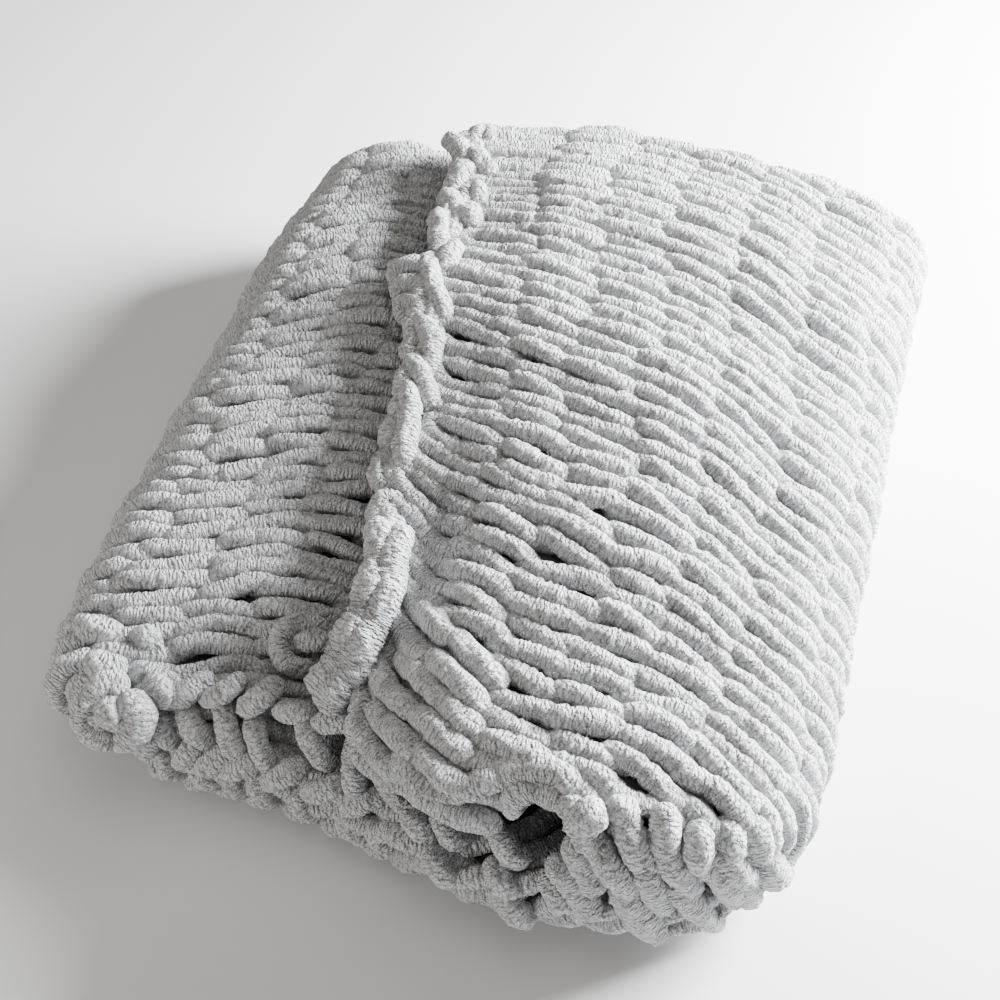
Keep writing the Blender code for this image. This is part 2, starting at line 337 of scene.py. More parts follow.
class Yarn:
    """Collects tubes of chenille along given paths, and makes one mesh of them."""

    def __init__(self, sides):
        phi = 2 * np.pi * np.arange(sides) / sides - np.pi
        self.angles = phi - CROWDED * np.sin(phi)
        self.sides = sides
        self.points, self.faces = [], []
        self.count = 0
        self.travelled = 0.0

    def add(self, path, outward, radius, ribs=0.035, tufts=0.06, matted=0):
        """A tube along path, with its outer side where outward points.

        Ribs and tufts are its unevenness along and round it. The more matted the pile, the
        broader its lumps."""
        path = np.asarray(path, float)
        tangent = np.gradient(path, axis=0)
        tangent /= np.linalg.norm(tangent, axis=1, keepdims=True)
        side = np.cross(tangent, outward)
        side /= np.linalg.norm(side, axis=1, keepdims=True)
        up = np.cross(side, tangent)
        rings = len(path)
        step = np.linalg.norm(np.diff(path, axis=0), axis=1)
        walked = np.concatenate([[0], np.cumsum(step)])
        length = self.travelled + walked
        self.travelled = length[-1] + PATTERN_GAP
        radius = np.broadcast_to(radius, rings) * (1 + ribs * RNG.normal(size=rings))
        rough = RNG.normal(size=(rings, self.sides))
        for _ in range(matted):
            rough = (2 * rough + np.roll(rough, 1, 1) + np.roll(rough, -1, 1)) / SMOOTHED
            rough[1:-1] = (2 * rough[1:-1] + rough[2:] + rough[:-2]) / SMOOTHED
        from_tip = TIP + np.minimum(walked, walked[-1] - walked) / radius
        cap = np.sqrt(1 - (1 - np.clip(from_tip, 0, 1)) ** 2)
        ring = (radius * cap)[:, None] * (1 + tufts * rough)
        points = path[:, None] + ring[..., None] * (
            np.sin(self.angles)[:, None] * side[:, None]
            + np.cos(self.angles)[:, None] * up[:, None]
        )
        points[..., 2] = np.maximum(points[..., 2], FLOOR)
        tips = path[[0, -1]] + tangent[[0, -1]] * radius[[0, -1], None] * ((-TIP,), (TIP,))
        tips[:, 2] = np.maximum(tips[:, 2], FLOOR)
        self.points.append(np.concatenate([points.reshape(-1, 3), tips]))
        self._faces(rings, length, radius.mean() / YARN_R)

    def _faces(self, rings, length, girth):
        """The sides and the two round ends, with a uv that follows the pile."""
        n = self.sides
        i, j = np.meshgrid(np.arange(rings - 1), np.arange(n), indexing="ij")
        i, j = i.ravel(), j.ravel()
        k = (j + 1) % n
        quads = self.count + np.stack([i * n + j, i * n + k, (i + 1) * n + k, (i + 1) * n + j], 1)
        round_ = np.stack([j, j + 1, j + 1, j], 1) * girth / n
        run = np.stack([length[i], length[i], length[i + 1], length[i + 1]], 1)
        self.faces.append((quads, np.stack([run, round_], -1)))
        for ring, tip, flip in ((0, rings * n, True), (rings - 1, rings * n + 1, False)):
            a = np.arange(n)
            b = (a + 1) % n
            if flip:
                a, b = b, a
            fan = self.count + np.stack([ring * n + a, ring * n + b, np.full(n, tip)], 1)
            uv = np.zeros((n, 3, 2))
            uv[:, :, 0] = length[ring]
            uv[:, 0, 1] = a * girth / n
            uv[:, 1, 1] = b * girth / n
            uv[:, 2, 1] = (a + b) / 2 * girth / n
            self.faces.append((fan, uv))
        self.count += rings * n + 2

    def build(self, name, material):
        """One piece of all the tubes, riding on the blanket's body."""
        mesh = bpy.data.meshes.new(name)
        corners = np.concatenate([f.ravel() for f, _ in self.faces])
        sizes = np.concatenate([np.full(len(f), f.shape[1]) for f, _ in self.faces])
        points = np.concatenate(self.points)
        mesh.vertices.add(len(points))
        mesh.vertices.foreach_set("co", points.astype(np.float32).ravel())
        mesh.loops.add(len(corners))
        mesh.loops.foreach_set("vertex_index", corners.astype(np.int32))
        mesh.polygons.add(len(sizes))
        starts = np.concatenate([[0], np.cumsum(sizes)[:-1]])
        mesh.polygons.foreach_set("loop_start", starts.astype(np.int32))
        uv = mesh.uv_layers.new(name="yarn")
        places = np.concatenate([u.ravel() for _, u in self.faces])
        uv.data.foreach_set("uv", places.astype(np.float32))
        mesh.update(calc_edges=True)
        mesh.validate()
        mesh.shade_smooth()
        mesh.materials.append(material)
        piece = bpy.data.objects.new(name, mesh)
        bpy.context.scene.collection.objects.link(piece)
        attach(piece, BODY)
        return piece


PUSHES, LIFTS, FATS = RNG.uniform(-1, 1, (3, ROWS, 2 * WALES + 2))
HEADS = UNEVEN * RNG.uniform(-1, 1, (ROWS + 1, WALES + 2))


# The waves in which the rows wander along the wales: how far, and radians for each metre across
# and along, and at the start.
DRIFTS = ((0.006, 9, 2.2, 0), (0.004, 31, -7, 1))


def drift(along, across):
    """How far the rows wander along the wales, in metres."""
    return sum(far * np.sin(a * across + b * along + start) for far, a, b, start in DRIFTS)


def parted(along, across):
    """How far the yarn is pushed across the wales beside the pulled places, in metres."""
    push = 0
    for row, wale, amount in GAPS:
        long, wide = (along - row * ROW) / GAP_SIZE[0], (across - wale * WALE) / GAP_SIZE[1]
        push = push + amount * wide * np.exp((1 - long**2 - wide**2) / 2)
    return push


def course(row, first, last, samples):
    """The yarn through one row, from stitch `first` to `last`: places on the cloth and radii."""
    tau = np.linspace(2 * np.pi * first, 2 * np.pi * last, int((last - first) * samples) + 1)
    t = tau + BUNCH * np.sin(2 * tau)
    leg = np.clip((t / np.pi).astype(int), 0, 2 * WALES - 1)
    stitch = np.clip((t / (2 * np.pi)).astype(int), 0, WALES - 1)
    foot = stitch + (t / (2 * np.pi) - stitch > 0.5)
    feet = (HEADS[row, foot - 1] + HEADS[row, foot]) / 2
    swell = np.sin(t) ** 2
    along = LOOP + ROW * row - LOOP * np.cos(t)
    along = along + feet * (1 + np.cos(t)) / 2 + HEADS[row + 1, stitch] * (1 - np.cos(t)) / 2
    across = WALE * t / (2 * np.pi) + SWING * np.sin(2 * t)
    out = RISE * np.tanh(-FLAT * np.cos(2 * t)) / np.tanh(FLAT)
    if row == ROWS - 1:
        out = np.where(np.cos(t) < 0, np.maximum(out, LAST_RISE * RISE), out)
    along = along + drift(along, across)
    across = across + swell * LEG_PUSH * PUSHES[row, leg] + parted(along, across)
    out = out + swell * LEG_LIFT * LIFTS[row, leg]
    radius = YARN_R * (SQUEEZED + SWELLS * np.sqrt(swell) + swell * LEG_FAT * FATS[row, leg])
    radius = radius * (1 + PLUMPER * eased((along - PLUMP_FROM) / PANEL_BLEND))
    radius = radius * (1 - THINNER * eased((THIN_TO - along) / PANEL_BLEND))
    lower = eased((along - LOWER_FROM) / LOWER_BLEND)
    out = out - LOWER_CORNER * lower * eased((LOWER_TO - across) / LOWER_BLEND)
    return along, across, out, radius


STARTS_IN = {23: 0.5, 24: 0.5}  # where the hem is pulled up, these rows start some stitches in
EPS = 0.0005  # either side of a place, to find its outward direction


def lay(along, across, out):
    """Path and outward directions in the bundle, for places on the cloth."""
    path = place(along, across, out)
    outward = place(along, across, out + EPS) - place(along, across, out - EPS)
    return path, outward / np.linalg.norm(outward, axis=1, keepdims=True)


def knit(name, rows, stitches, samples, sides, material):
    """The loops of some rows of the cloth, over some of its wales."""
    yarn = Yarn(sides)
    for row in rows:
        first = max(stitches[0], STARTS_IN.get(row, 0))
        along, across, out, radius = course(row, first, stitches[1], samples)
        path, outward = lay(along, across, out)
        yarn.add(path, outward, radius)
    return yarn.build(name, material)


def chain(yarn, span, at, lift, edge, pitch=LINK_PITCH):
    """A braid of loops along an edge: span and at are places on the cloth, edge names its side."""
    count = max(1, round(abs(span[1] - span[0]) / pitch))
    t = np.linspace(LINK_OPEN, 2 * np.pi - LINK_OPEN, LINK_STEPS)
    swell = np.sin(t) ** 2
    for k in range(count):
        middle = span[0] + (span[1] - span[0]) * (k + 0.5) / count + RNG.normal() * LINK_OFF
        heading = np.sign(span[1] - span[0])
        length = LINK * RNG.uniform(*LINK_SIZES)
        go = middle - heading * length * np.cos(t)
        cross = LINK_WIDTH * (t / (2 * np.pi) - 0.5) + LINK_SWING * np.sin(2 * t)
        cross = cross + at + RNG.normal() * LINK_ASIDE + RNG.normal() * LINK_ASKEW * (go - middle)
        out = lift + LINK_RISE * np.tanh(-LINK_FLAT * np.cos(2 * t)) + RNG.normal() * LINK_UP
        along, across = (cross, go) if edge == "end" else (go, cross)
        path, outward = lay(along, across, out)
        radius = YARN_R * RNG.uniform(*LINK_YARNS) * (LINK_THIN + LINK_SWELLS * swell)
        yarn.add(path, outward, radius, tufts=LOOSE_TUFTS)


def spline_at(points, at, per_point=False):
    """Places on a smooth line through points. With per_point, each place has a line of its own."""
    points = np.asarray(points, float)
    slope = np.gradient(points, axis=0)
    i = np.clip(np.floor(at).astype(int), 0, len(points) - 2)
    q = (at - i)[:, None]

    def pick(table, k):
        return table[k, np.arange(len(at))] if per_point else table[k]

    return (
        pick(points, i) * (1 + 2 * q) * (1 - q) ** 2
        + pick(slope, i) * q * (1 - q) ** 2
        + pick(points, i + 1) * q**2 * (3 - 2 * q)
        + pick(slope, i + 1) * q**2 * (q - 1)
    )


def sampled(points, fewest=6):
    """A smooth line through a few points, in short steps."""
    points = np.array(points, float)
    length = np.linalg.norm(np.diff(points, axis=0), axis=1).sum()
    return spline_at(points, np.linspace(0, len(points) - 1, max(fewest, int(length / STEP))))


def on_cloth(yarn, points, radius, **pile):
    """A loose piece of yarn through a few places on the cloth: along, across and out."""
    path, outward = lay(*sampled(points).T)
    yarn.add(path, outward, radius, **pile)


def in_space(yarn, points, radius, facing, **pile):
    """A loose piece of yarn through a few places in the bundle's own frame."""
    line = sampled(points)
    yarn.add(line, np.broadcast_to(np.array(facing, float), line.shape), radius, **pile)


# ------------------------------------------------------------------ materials
LIGHT = (0.80, 0.80, 0.82)
# Painted shade: the colour of the pits between the tufts of the pile.
PIT_SHADE = (0.19, 0.19, 0.195)
# Painted shade, darker still, for the ground sheet deep in the cloth.
DEEP_SHADE = (0.07, 0.07, 0.07)
MATT = {
    "Roughness": 0.92,
    "Sheen Weight": 0.35,
    "Sheen Roughness": 0.6,
    "Specular IOR Level": 0.15,
}
RIB = 0.0020  # a tuft of the pile, along the yarn
TUFTS_ROUND = 7  # and how many go round it
TUFT_EDGE = 0.75  # how far from its middle a tuft ends, in tufts
PILE = 0.0068  # how high the pile stands
SWAY, SWAY_SCALE = (1.2, 1.2, 0.0), 150.0  # tufts that the pile sways by, along and round
CURL_SCALE, LUMP_SCALE = 900.0, 190.0
CURLY, LUMPY = 0.40, 0.25  # shares of the curls in a tuft's height, and of the lumps in all
CURLS_IN_SHADE = 0.55  # share of the curls in the painted shade of the pits
SHADE_STOPS = (0.31, 0.58)  # the heights of the pile where the painted shade of its pits is darkest and where it ends
DYE, DYE_SCALE = (0.90, 1.06), 9.0  # how the colour varies over the blanket


def node(tree, kind, x, y, **inputs):
    """A new node at x, y, with its inputs set by name."""
    made = tree.nodes.new(kind)
    made.location = (x, y)
    for name, value in inputs.items():
        made.inputs[name.replace("_", " ")].default_value = value
    return made


def chenille(name, light, shade_colour):
    """Chenille pile: tufts that stand round the yarn with a soft sheen, and painted shade in the pits
    between them, so that their tops are lighter.
    """
    material = bpy.data.materials.new(name)
    material.use_nodes = True
    tree = material.node_tree
    shader = tree.nodes["Principled BSDF"]
    for quality, value in MATT.items():
        shader.inputs[quality].default_value = value
    link = tree.links.new
    uv = node(tree, "ShaderNodeUVMap", -1900, 0)
    uv.uv_map = "yarn"
    ribs = node(tree, "ShaderNodeMapping", -1700, 150)
    ribs.inputs["Scale"].default_value = (1 / RIB, TUFTS_ROUND, 1.0)
    link(uv.outputs["UV"], ribs.inputs["Vector"])
    spot = node(tree, "ShaderNodeTexCoord", -1900, -300)
    sway = node(tree, "ShaderNodeTexNoise", -1700, -100, Scale=SWAY_SCALE, Detail=1.0)
    link(spot.outputs["Object"], sway.inputs["Vector"])
    swayed = node(tree, "ShaderNodeVectorMath", -1500, 100)
    swayed.operation = "MULTIPLY_ADD"
    swayed.inputs[1].default_value = SWAY
    link(sway.outputs["Color"], swayed.inputs[0])
    link(ribs.outputs["Vector"], swayed.inputs[2])
    tuft = node(tree, "ShaderNodeTexVoronoi", -1300, 100, Scale=1.0, Randomness=0.95)
    tuft.voronoi_dimensions = "2D"
    link(swayed.outputs["Vector"], tuft.inputs["Vector"])
    round_ = node(tree, "ShaderNodeMapRange", -1100, 100, From_Max=TUFT_EDGE, To_Min=1.0, To_Max=0.0)
    link(tuft.outputs["Distance"], round_.inputs["Value"])
    curls = node(tree, "ShaderNodeTexNoise", -1100, -150, Scale=CURL_SCALE, Detail=1.0)
    curls.inputs["Roughness"].default_value = 0.8
    link(spot.outputs["Object"], curls.inputs["Vector"])
    lumps = node(tree, "ShaderNodeTexNoise", -1100, -400, Scale=LUMP_SCALE, Detail=1.0)
    link(spot.outputs["Object"], lumps.inputs["Vector"])
    pile = node(tree, "ShaderNodeMix", -850, 50, Factor=CURLY)
    link(round_.outputs[0], pile.inputs[2])
    link(curls.outputs["Fac"], pile.inputs[3])
    height = node(tree, "ShaderNodeMix", -650, 0, Factor=LUMPY)
    link(pile.outputs[0], height.inputs[2])
    link(lumps.outputs["Fac"], height.inputs[3])
    bump = node(tree, "ShaderNodeBump", -300, -300, Strength=1.0, Distance=PILE)
    link(height.outputs[0], bump.inputs["Height"])
    link(bump.outputs["Normal"], shader.inputs["Normal"])
    # Painted shade: where the pile is low, in the pits between tufts and curls, the colour darkens
    # towards the pit shade; at the tops it is the yarn's own colour.
    tips = node(tree, "ShaderNodeValToRGB", -450, 200)
    for stop, at, colour in zip(tips.color_ramp.elements, SHADE_STOPS, (shade_colour, light)):
        stop.position = at
        stop.color = (*colour, 1)
    shade_mask = node(tree, "ShaderNodeMix", -650, 250, Factor=CURLS_IN_SHADE)
    link(height.outputs[0], shade_mask.inputs[2])
    link(curls.outputs["Fac"], shade_mask.inputs[3])
    link(shade_mask.outputs[0], tips.inputs["Fac"])
    shade = node(tree, "ShaderNodeTexNoise", -650, 450, Scale=DYE_SCALE, Detail=2.0)
    link(spot.outputs["Object"], shade.inputs["Vector"])
    batch = node(tree, "ShaderNodeMapRange", -450, 450, To_Min=DYE[0], To_Max=DYE[1])
    link(shade.outputs["Fac"], batch.inputs["Value"])
    dyed = node(tree, "ShaderNodeVectorMath", -200, 250)
    dyed.operation = "SCALE"
    link(tips.outputs["Color"], dyed.inputs[0])
    link(batch.outputs[0], dyed.inputs["Scale"])
    link(dyed.outputs["Vector"], shader.inputs["Base Color"])
    return material


# ------------------------------------------------------------------ pieces
YARN = chenille("pale_grey_chenille", LIGHT, PIT_SHADE)
# Painted shade: the ground sheet behind the loops gets a darker copy of the pile, for the shadow deep
# inside the cloth.
GROUND_SHADE = chenille("painted_shade_chenille", PIT_SHADE, DEEP_SHADE)

BACK_TURN = 23  # stitches from the front selvedge to the end of the back fold
KNITS = (
    # name, rows, stitches, steps a stitch, sides
    ("knit_tucked_end", range(0, 3), (0, BACK_TURN), 20, 8),
    ("knit_left_top", range(3, 7), (0, BACK_TURN), 46, 16),
    ("knit_left_fold", range(7, 10), (0, BACK_TURN), 46, 16),
    ("knit_underside_left_front", range(10, 15), (0, 4), 40, 14),
    ("knit_underside_left", range(10, 15), (4, BACK_TURN), 20, 10),
    ("knit_underside_right_front", range(15, 19), (0, 9), 40, 14),
    ("knit_underside_right", range(15, 19), (9, BACK_TURN), 20, 10),
    ("knit_right_fold", range(19, 22), (0, BACK_TURN), 46, 16),
    ("knit_right_top", range(22, 27), (0, BACK_TURN), 50, 16),
    ("knit_inner_left", range(0, 14), (BACK_TURN, WALES), 16, 7),
    ("knit_inner_right", range(14, 27), (BACK_TURN, WALES), 16, 7),
)

# The cast-off end hangs on past the corner as a thick flap: from the ridge to its tip, and how
# far half way it lies to the right, to the front and up.
FLAP_FROM, FLAP_TO = np.array((-0.070, -0.105, 0.155)), np.array((-0.080, -0.255, 0.105))
FLAP_BOW = np.array((0.017, -0.010, 0.013))
FLAP_SPREAD = 0.0068  # from its middle to the ropes on both sides
FLAP_R = 0.0118
FLAP_ROPES = ((-1, 0), (1, 0.001), (0, 0.005))  # to which side, and how much lower
FLAP_CLOSE = 0.75  # at the ridge its ropes lie this much closer together
FLAP_THIN, FLAP_GROWS = 0.86, 0.20  # their thickness there, and what it grows by towards the tip
FLAP_WANDER, FLAP_RIPPLE, FLAP_LUMPS = 0.0013, 0.0012, 0.06  # sideways, in height, in thickness
FLAP_RINGS = 96
FLAP_STARTS = 18  # rings in, under the last lumps of the edge
FLAP_STAGGER = 3  # rings between the ends of its ropes

# The left fold ends in a rosette, where the curled selvedge winds up on itself: ropes round a
# middle, each with its thickness and the places it passes through, to the right, up and out.
ROSETTE = (-0.2150, -0.281, 0.087)
ROSETTE_FACES = (0.05, -0.72, 0.68)
ROSETTE_TUFTS = 0.07
ROSETTE_ROPES = (
    (
        0.0098,
        ((0.007, 0.019, 0.001), (-0.009, 0.018, 0.006), (-0.018, 0.007, 0.008),
         (-0.019, -0.006, 0.008), (-0.011, -0.016, 0.008), (0.004, -0.019, 0.005)),
    ),
    (
        0.0124,
        ((0.006, 0.013, 0.003), (0.014, 0.006, 0.006), (0.016, -0.005, 0.006),
         (0.010, -0.014, 0.003), (0.002, -0.018, -0.003)),
    ),
    (
        0.0134,
        ((-0.008, 0.008, 0.003), (-0.001, 0.005, 0.007), (0.005, -0.002, 0.007),
         (0.006, -0.008, 0.003)),
    ),
    (0.0126, ((-0.010, 0.003, 0.004), (-0.007, -0.004, 0.006), (0.000, -0.008, 0.005))),
    (0.0100, ((0.016, 0.022, -0.006), (0.028, 0.016, -0.004), (0.034, 0.006, -0.008))),
    (0.0100, ((-0.026, 0.030, -0.010), (-0.014, 0.027, -0.004), (0.000, 0.028, -0.010))),
)

# The cast-off edge is lumpy: short loops of yarn lie over its chain in two files, the second
# half a lump behind the first. Each slants, its front end nearer to the right.
RIDGE_CHAINS = (((0.592, 0.230), -0.0010), ((0.230, 0.110), -0.0050))  # from, to, how high
CHAIN_PAST = 0.002  # how far past the edge of the cloth they lie
LUMP_SEED = 4
LUMPS = 8  # in a file
LUMPS_FROM = 0.550  # across, at the back
LUMP_PITCH = 0.051
LUMP_PAST = (0.004, -0.009)  # how far past the edge of the cloth each file lies
LUMP, LUMP_SIZES = 0.031, (0.6, 1.5)  # its length across, and the range of its shares
LUMP_SLANT, LUMP_ASKEW = 0.30, 0.35  # how far along for each metre across, and unevenness
LUMP_OFF = 0.005  # how far a lump is off its place
LUMP_YARN, LUMP_YARNS = 0.0090, (0.86, 1.16)
LUMP_LIFT = (-0.002, 0.009)  # off the cloth, at a loop's ends and at its middle
RIDGE_TUFTS = 0.08
# Loops that come out from under the edge onto the left side, from the back one on.
FINGER_YARN = (0.0090, 0.0084, 0.0078)
FINGERS_AT, FINGER_PITCH = 0.350, 0.019
FINGERS_PAST = 0.005  # how far past the edge of the cloth they come out
FINGER = 0.045  # how far they reach from there
FINGER_SHORTER = 0.006  # each than the one behind it
# A finger from its tip to its root: share of its reach, how far aside and off the cloth.
FINGER_BEND = ((1, -0.004, -0.007), (0.6, 0.005, 0.001), (0.2, 0.003, 0.005), (0, -0.008, 0.002))


def arched(yarn, places, lift, thick, **pile):
    """A short loop of yarn that rises out of the cloth and dives back in."""
    line = sampled(places, fewest=8)
    ahead = DIVES * thick * (line[-1] - line[0]) / np.linalg.norm(line[-1] - line[0])
    line = np.concatenate([[line[0] - ahead], line, [line[-1] + ahead]])
    arch = np.sqrt(np.sin(np.pi * np.linspace(0, 1, len(line))))
    path, outward = lay(line[:, 0], line[:, 1], lift[0] + (lift[1] - lift[0]) * arch)
    yarn.add(path, outward, thick * (THIN_END + THICKER * arch), **pile)


def ridge():
    """The cast-off edge: a chain, and the lumps on it."""
    yarn = Yarn(sides=16)
    for span, lift in RIDGE_CHAINS:
        chain(yarn, span, ALONG[-1] + CHAIN_PAST, lift, "end")
    edge = ALONG[-1] + FINGERS_PAST
    for k, thick in enumerate(FINGER_YARN):
        across = FINGERS_AT - FINGER_PITCH * k
        reach = FINGER - FINGER_SHORTER * k
        places = [(edge + share * reach, across + aside, off) for share, aside, off in FINGER_BEND]
        on_cloth(yarn, places, thick, tufts=RIDGE_TUFTS, matted=1)
    rng = np.random.default_rng(LUMP_SEED)
    for file, past in enumerate(LUMP_PAST):
        for k in range(LUMPS):
            middle = LUMPS_FROM - LUMP_PITCH * (k + file / 2) + LUMP_OFF * rng.normal()
            half = LUMP / 2 * rng.uniform(*LUMP_SIZES)
            along = ALONG[-1] + past + LUMP_OFF * rng.normal()
            run = half * (LUMP_SLANT + LUMP_ASKEW * rng.normal())
            thick = LUMP_YARN * rng.uniform(*LUMP_YARNS)
            places = ((along + run, middle + half), (along - run, middle - half))
            arched(yarn, places, LUMP_LIFT, thick, tufts=RIDGE_TUFTS, matted=1)
    return yarn.build("cast_off_ridge", YARN)


def flap():
    """The end of the edge that hangs on past the corner: a few thicknesses of yarn, matted."""
    yarn = Yarn(sides=22)
    share = np.linspace(0, 1, FLAP_RINGS)
    bow = np.sin(np.pi * share)
    middle = FLAP_FROM + (FLAP_TO - FLAP_FROM) * share[:, None] + FLAP_BOW * bow[:, None]
    heading = np.gradient(middle, axis=0)
    heading /= np.linalg.norm(heading, axis=1, keepdims=True)
    side = np.cross(heading, (0, 0, 1))
    closer = FLAP_CLOSE + (1 - FLAP_CLOSE) * share
    for k, (spread, sink) in enumerate(FLAP_ROPES):
        wander = FLAP_WANDER * np.sin((23 + 4 * k) * share + 2 * k)
        path = middle + side * (FLAP_SPREAD * closer * spread + wander)[:, None]
        path[:, 2] += FLAP_RIPPLE * np.sin(29 * share + k) - sink
        lumps = FLAP_LUMPS * np.sin((19 + 5 * k) * share + 3 * k)
        radius = FLAP_R * (FLAP_THIN + FLAP_GROWS * share + lumps)
        kept = slice(FLAP_STARTS - FLAP_STAGGER * k, len(path) - FLAP_STAGGER * k)
        up = np.broadcast_to((0, 0, 1.0), path[kept].shape)
        yarn.add(path[kept], up, radius[kept], ribs=0.02, tufts=0.06, matted=1)
    return yarn.build("cast_off_flap", YARN)


def rosette():
    """The end of the left fold, where the selvedge winds up on itself."""
    yarn = Yarn(sides=16)
    facing = np.array(ROSETTE_FACES) / np.linalg.norm(ROSETTE_FACES)
    right = np.cross((0, 0, 1), facing)
    right /= np.linalg.norm(right)
    up = np.cross(facing, right)
    for thick, points in ROSETTE_ROPES:
        places = np.array(ROSETTE) + np.array(points) @ np.stack([right, up, facing])
        in_space(yarn, places, thick, facing, tufts=ROSETTE_TUFTS, matted=1)
    return yarn.build("fold_end_rosette", YARN)


SELVEDGE_CHAINS = ((0.50, 0.90), (1.25, 1.33))
SELVEDGE_AT = -0.004
SELVEDGE_PITCH = 0.033


def selvedge():
    """The chain of turned loops along the front selvedge."""
    yarn = Yarn(sides=14)
    for span in SELVEDGE_CHAINS:
        chain(yarn, span, SELVEDGE_AT, 0.0, "side", pitch=SELVEDGE_PITCH)
    return yarn.build("selvedge_chain", YARN)


# Two places where the curled front end has a form of its own. Each is a net of points: rows
# run down the front, and each row runs from left to right.
CURL = (
    ((-0.200, -0.258, 0.086), (-0.092, -0.254, 0.088), (0.030, -0.272, 0.078)),
    ((-0.195, -0.281, 0.050), (-0.090, -0.287, 0.053), (0.048, -0.307, 0.050)),
    ((-0.193, -0.275, 0.016), (-0.088, -0.282, 0.015), (0.060, -0.317, 0.016)),
)
CURL_ROWS = 5
CURL_LOOPS = 8.5  # in a row
CURL_LOOP = 0.0175  # half the length of a bump
CURL_YARN = 0.0082
CURL_BENDS = (-0.45, 0.90)  # which way the bumps of every other row point, in radians
CURL_LIFT = (-0.009, 0.0095)
CURL_SIZES, CURL_YARNS = (0.85, 1.15), (0.92, 1.08)
CURL_RAISED, CURL_FOOT = 0.1, 0.97  # how many rows higher they start, and where the last ones lie
CURL_ASIDE, CURL_UP, CURL_ASKEW = 0.14, 0.12, 0.20  # unevenness
CURL_TUFTS = 0.06
CORNER_NET = (
    ((0.105, -0.300, 0.135), (0.145, -0.295, 0.140), (0.180, -0.285, 0.130), (0.210, -0.275, 0.110)),
    ((0.125, -0.320, 0.105), (0.155, -0.310, 0.110), (0.185, -0.300, 0.105), (0.215, -0.280, 0.075)),
    ((0.155, -0.320, 0.030), (0.180, -0.310, 0.030), (0.205, -0.290, 0.025), (0.225, -0.270, 0.035)),
)
CORNER_ROPES = 6
CORNER_SHEAR = 0.10  # how much a wale leans to the right on its way down
CORNER_YARN = 0.0097
CORNER_LEG, CORNER_STEP = (0.024, 0.030), (0.34, 0.42)  # half a leg in metres, and down to the next
CORNER_TOP, CORNER_STAGGER, CORNER_FOOT = 0.12, 0.24, 0.88  # the first legs, and the last
CORNER_LIFT = (-0.005, 0.004)
CORNER_ASIDE = CORNER_ASKEW = 0.10
CORNER_TURN = np.pi / 2 - 0.12  # which way its legs point, in radians
CORNER_YARNS, CORNER_END = (0.9, 1.1), 0.98  # no leg starts further down than this
GOLDEN = 0.618  # spreads the starts of the wales evenly
NET_STEP = 0.01  # either side of a place on a net, to find its outward direction
# A bump: its rings, how much they crowd at its ends, and its arch as a share of a half turn.
BUMP_RINGS, BUMP_CROWDED, BUMP_ARCH = 19, 0.9, 0.96


def net(rows, right, down, out):
    """A place on a net of points, `out` metres off it, with right and down from 0 to 1."""
    rows = np.array(rows, float)

    def at(u, w):
        lines = [spline_at(row, u * (len(row) - 1)) for row in rows]
        stack = np.stack(lines)
        return spline_at(stack, w * (len(rows) - 1), per_point=True)

    spot = at(right, down)
    u = at(right + NET_STEP, down) - at(right - NET_STEP, down)
    w = at(right, down + NET_STEP) - at(right, down - NET_STEP)
    normal = np.cross(w, u)
    normal /= np.linalg.norm(normal, axis=1, keepdims=True)
    return spot + normal * np.asarray(out)[..., None], normal


def bump_on(yarn, form, right, down, bend, half, thick, lift, **pile):
    """A short loop on a net of points: its middle, and which way it points (radians)."""
    wide = np.linalg.norm(np.array(form[1][-1]) - form[1][0])
    high = np.linalg.norm(np.array(form[-1][1]) - form[0][1])
    quarter = np.pi / 2
    q = np.sin(np.linspace(-1, 1, BUMP_RINGS) * quarter * BUMP_CROWDED)
    q = q / np.sin(quarter * BUMP_CROWDED)
    arch = np.sqrt(np.cos(q * quarter * BUMP_ARCH))
    u = right + q * half * np.cos(bend) / wide
    w = down + q * half * np.sin(bend) / high
    path, outward = net(form, u, w, lift[0] + (lift[1] - lift[0]) * arch)
    yarn.add(path, outward, thick * (THIN_END + THICKER * arch), **pile)


def curled_end():
    """The reverse of the fabric, where the front end of the underside curls up: purl bumps."""
    yarn = Yarn(sides=16)
    for row in range(CURL_ROWS):
        for loop in range(int(CURL_LOOPS) + 1):
            right = (loop + 0.5 * (row % 2) + CURL_ASIDE * RNG.normal()) / CURL_LOOPS
            down = (row - CURL_RAISED + CURL_UP * RNG.normal()) / (CURL_ROWS - 1)
            bend = CURL_BENDS[row % 2] + CURL_ASKEW * RNG.normal()
            half = CURL_LOOP * RNG.uniform(*CURL_SIZES)
            thick = CURL_YARN * RNG.uniform(*CURL_YARNS)
            low = min(down, CURL_FOOT)
            bump_on(yarn, CURL, right, low, bend, half, thick, CURL_LIFT, tufts=CURL_TUFTS)
    return yarn.build("curled_front_end", YARN)


def corner_fan():
    """The wales that run over the front right corner and down under it, leg by leg."""
    yarn = Yarn(sides=16)
    for rope in range(CORNER_ROPES):
        down = CORNER_TOP + CORNER_STAGGER * (rope * GOLDEN % 1)
        while down < CORNER_END:
            right = (rope + CORNER_ASIDE * RNG.normal()) / (CORNER_ROPES - 1)
            right = right + CORNER_SHEAR * (down - 0.5)
            bend = CORNER_TURN + CORNER_ASKEW * RNG.normal()
            thick = CORNER_YARN * RNG.uniform(*CORNER_YARNS)
            half = RNG.uniform(*CORNER_LEG)
            low = min(down, CORNER_FOOT)
            bump_on(yarn, CORNER_NET, right, low, bend, half, thick, CORNER_LIFT, tufts=CURL_TUFTS)
            down += RNG.uniform(*CORNER_STEP)
    return yarn.build("corner_fan", YARN)


